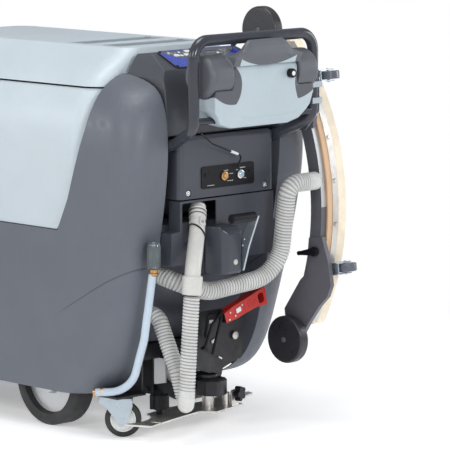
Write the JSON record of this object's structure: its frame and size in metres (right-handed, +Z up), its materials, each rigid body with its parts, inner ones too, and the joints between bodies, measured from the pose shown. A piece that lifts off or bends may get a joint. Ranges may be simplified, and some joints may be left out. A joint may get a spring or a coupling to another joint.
{
  "type": "walk-behind floor scrubber",
  "caption": "Walk-behind automatic floor scrubber with twin brush deck, tilting recovery tank, drain and vacuum hoses, handle control pod and curved squeegee lifted off and hung on the handle.",
  "frame": {"origin": "on the floor, on the centre plane, under the middle of the overall length; the drive axle is 119.81 mm behind it", "axes": "+X is the travel direction, +Y the machine's left, +Z up"},
  "size_m": [1.4164, 0.7358, 1.145],
  "materials": {
    "tank_dark": "rotomoulded, fine pebble",
    "tank_light": "rotomoulded, satin",
    "console_dark": "moulded, satin",
    "cover_dark": "moulded, satin",
    "housing_dark": "moulded, semi-gloss",
    "panel_face": "printed overlay",
    "button_white": "moulded",
    "black_plastic": "moulded",
    "pod_grey": "moulded, satin",
    "paddle_rubber": "soft over-moulding",
    "handle_paint": "powder coat, semi-gloss",
    "frame_black": "powder coat",
    "zinc": "zinc plated",
    "steel": "stainless, brushed",
    "chrome": "plated",
    "key_steel": "nickel",
    "red_plastic": "moulded",
    "hose_grey": "flexible corrugated",
    "drain_grey": "smooth flexible",
    "clear_tube": "flexible clear vinyl",
    "smoke_cap": "translucent smoke",
    "tyre_black": "non-marking",
    "drive_tyre": "ribbed",
    "gum_rubber": "gum rubber",
    "casting_dark": "cast, powder coat",
    "bumper_black": "satin",
    "caster_poly": "polyurethane",
    "battery_case": "moulded",
    "deck_paint": "powder coat",
    "bristle": "nylon bristle",
    "aluminium_cast": "cast",
    "motor_can": "painted"
  },
  "bodies": {
    "body": {"solution_tank": "tank_dark", "batteries": "battery_case", "chassis": "frame_black", "transaxle": "aluminium_cast", "deck_actuator": "motor_can", "console": "console_dark", "control_panel": "panel_face", "rear_cover": "cover_dark", "cover_bolts": "chrome", "breaker_plate": "black_plastic", "control_cable": "black_plastic", "rear_bulkhead": "cover_dark", "drain_tube": "drain_grey", "drain_hose": "hose_grey", "vacuum_hose": "hose_grey", "level_tube": "clear_tube", "lever_housing": "housing_dark", "battery_socket": "red_plastic", "vacuum_motor": "motor_can", "handle_loop": "handle_paint", "control_pod": "pod_grey", "storage_hook": "zinc"},
    "tank_upper": {"recovery_tank": "tank_light"},
    "lid": {"recovery_lid": "tank_light"},
    "button_brush": {"brush_button": "button_white"},
    "button_vacuum": {"vacuum_button": "button_white"},
    "button_solution": {"solution_button": "button_white"},
    "key": {"ignition_key": "key_steel"},
    "breaker_a": {"breaker_left": "chrome"},
    "breaker_b": {"breaker_right": "chrome"},
    "tube_cap": {"level_tube_cap": "smoke_cap"},
    "lever": {"lift_lever": "zinc", "lever_grip": "black_plastic"},
    "arm": {"squeegee_arm": "frame_black"},
    "mount": {"swivel_block": "frame_black", "squeegee_bracket": "steel"},
    "star": {"star_knob": "black_plastic"},
    "clamp": {"clamp_knob": "black_plastic"},
    "fork_left": {"caster_fork_left": "zinc"},
    "roll_left": {"caster_wheel_left": "tyre_black"},
    "wheel_left": {"drive_wheel_left": "drive_tyre"},
    "wheel_right": {"drive_wheel_right": "drive_tyre"},
    "deck": {"brush_deck": "deck_paint", "brush_motors": "motor_can"},
    "disc_left": {"brush_left": "bristle"},
    "disc_right": {"brush_right": "bristle"},
    "paddle": {"drive_paddle": "paddle_rubber"},
    "dial": {"speed_knob": "black_plastic"},
    "squeegee": {"squeegee_frame": "casting_dark", "squeegee_blades": "gum_rubber", "squeegee_strap": "steel", "squeegee_caster_brackets": "zinc"},
    "bumper_low": {"bumper_disc_lower": "bumper_black"},
    "bumper_high": {"bumper_disc_upper": "bumper_black"},
    "support_low": {"squeegee_caster_lower": "caster_poly"},
    "support_high": {"squeegee_caster_upper": "caster_poly"},
    "thumb": {"thumb_lever": "black_plastic"},
    "plug": {"battery_plug": "red_plastic"}
  },
  "joints": [
    {"name": "recovery_tank_tilt", "type": "hinge", "parent": "body", "child": "tank_upper", "pos_m": [0.08019, 0.345, 0.562], "axis": [-1, 0, 0], "range_deg": [0, 50]},
    {"name": "lid_hinge", "type": "hinge", "parent": "tank_upper", "child": "lid", "pos_m": [0.52619, 0, 0.948], "axis": [0, 1, 0], "range_deg": [0, 80]},
    {"name": "brush_button_press", "type": "slide", "parent": "body", "child": "button_brush", "axis": [0.4345, 0, -0.9007], "range_m": [0, 0.0015]},
    {"name": "vacuum_button_press", "type": "slide", "parent": "body", "child": "button_vacuum", "axis": [0.4345, 0, -0.9007], "range_m": [0, 0.0015]},
    {"name": "solution_button_press", "type": "slide", "parent": "body", "child": "button_solution", "axis": [0.4345, 0, -0.9007], "range_m": [0, 0.0015]},
    {"name": "key_turn", "type": "hinge", "parent": "body", "child": "key", "pos_m": [-0.4363, -0.118, 1.02619], "axis": [-0.4345, 0, 0.9007], "range_deg": [0, 90]},
    {"name": "breaker_left_trip", "type": "slide", "parent": "body", "child": "breaker_a", "axis": [-1, 0, 0], "range_m": [0, 0.004]},
    {"name": "breaker_right_trip", "type": "slide", "parent": "body", "child": "breaker_b", "axis": [-1, 0, 0], "range_m": [0, 0.004]},
    {"name": "tube_cap_lift", "type": "slide", "parent": "body", "child": "tube_cap", "axis": [0, 0, 1], "range_m": [0, 0.04]},
    {"name": "lift_lever_swing", "type": "hinge", "parent": "body", "child": "lever", "pos_m": [-0.58581, 0, 0.474], "axis": [0, -1, 0], "range_deg": [0, 60]},
    {"name": "squeegee_arm_lower", "type": "hinge", "parent": "body", "child": "arm", "pos_m": [-0.31581, 0, 0.1], "axis": [0, -1, 0], "range_deg": [0, 10]},
    {"name": "squeegee_mount_swivel", "type": "hinge", "parent": "arm", "child": "mount", "pos_m": [-0.46481, 0, 0.1], "axis": [0, 0, 1], "range_deg": [-5, 5]},
    {"name": "star_knob_turn", "type": "hinge", "parent": "mount", "child": "star", "pos_m": [-0.50019, -0.0716, 0.093], "axis": [-0.9659, -0.2588, 0], "continuous": true},
    {"name": "clamp_knob_turn", "type": "hinge", "parent": "mount", "child": "clamp", "pos_m": [-0.44481, 0.165, 0.09], "axis": [0, 0, 1], "continuous": true},
    {"name": "caster_left_swivel", "type": "hinge", "parent": "body", "child": "fork_left", "pos_m": [-0.35981, 0.275, 0.105], "axis": [0, 0, 1], "continuous": true},
    {"name": "caster_left_roll", "type": "hinge", "parent": "fork_left", "child": "roll_left", "pos_m": [-0.38809, 0.24672, 0.05], "axis": [-0.7071, 0.7071, 0], "continuous": true},
    {"name": "drive_left_roll", "type": "hinge", "parent": "body", "child": "wheel_left", "pos_m": [-0.11981, 0.25, 0.127], "axis": [0, 1, 0], "continuous": true},
    {"name": "drive_right_roll", "type": "hinge", "parent": "body", "child": "wheel_right", "pos_m": [-0.11981, -0.25, 0.127], "axis": [0, 1, 0], "continuous": true},
    {"name": "deck_lower", "type": "slide", "parent": "body", "child": "deck", "axis": [0, 0, -1], "range_m": [0, 0.03]},
    {"name": "brush_left_spin", "type": "hinge", "parent": "deck", "child": "disc_left", "pos_m": [0.51619, 0.176, 0.08], "axis": [0, 0, 1], "continuous": true},
    {"name": "brush_right_spin", "type": "hinge", "parent": "deck", "child": "disc_right", "pos_m": [0.51619, -0.176, 0.08], "axis": [0, 0, 1], "continuous": true},
    {"name": "paddle_twist", "type": "hinge", "parent": "body", "child": "paddle", "pos_m": [-0.63481, 0, 0.988], "axis": [0, 1, 0], "range_deg": [-10, 10]},
    {"name": "speed_dial_turn", "type": "hinge", "parent": "body", "child": "dial", "pos_m": [-0.69481, -0.09, 0.985], "axis": [1, 0, 0], "range_deg": [-135, 135]},
    {"name": "squeegee_unhook", "type": "slide", "parent": "body", "child": "squeegee", "axis": [0, -1, 0], "range_m": [0, 0.15]},
    {"name": "bumper_lower_spin", "type": "hinge", "parent": "squeegee", "child": "bumper_low", "pos_m": [-0.54181, -0.236, 0.228], "axis": [0, 1, 0], "continuous": true},
    {"name": "bumper_upper_spin", "type": "hinge", "parent": "squeegee", "child": "bumper_high", "pos_m": [-0.44081, -0.236, 1.079], "axis": [0, 1, 0], "continuous": true},
    {"name": "support_caster_lower_roll", "type": "hinge", "parent": "squeegee", "child": "support_low", "pos_m": [-0.67649, -0.323, 0.43379], "axis": [0.1179, 0, 0.993], "continuous": true},
    {"name": "support_caster_upper_roll", "type": "hinge", "parent": "squeegee", "child": "support_high", "pos_m": [-0.60807, -0.323, 0.95939], "axis": [0.1179, 0, 0.993], "continuous": true},
    {"name": "thumb_lever_turn", "type": "hinge", "parent": "squeegee", "child": "thumb", "pos_m": [-0.62781, -0.249, 0.48], "axis": [0, 1, 0], "range_deg": [0, 60]},
    {"name": "battery_plug_pull", "type": "slide", "parent": "body", "child": "plug", "axis": [0, -0.9511, 0.309], "range_m": [0, 0.06]}
  ],
  "couplings": [
    {"joint": "squeegee_arm_lower", "follows": "lift_lever_swing", "ratio": 0.1665}
  ]
}
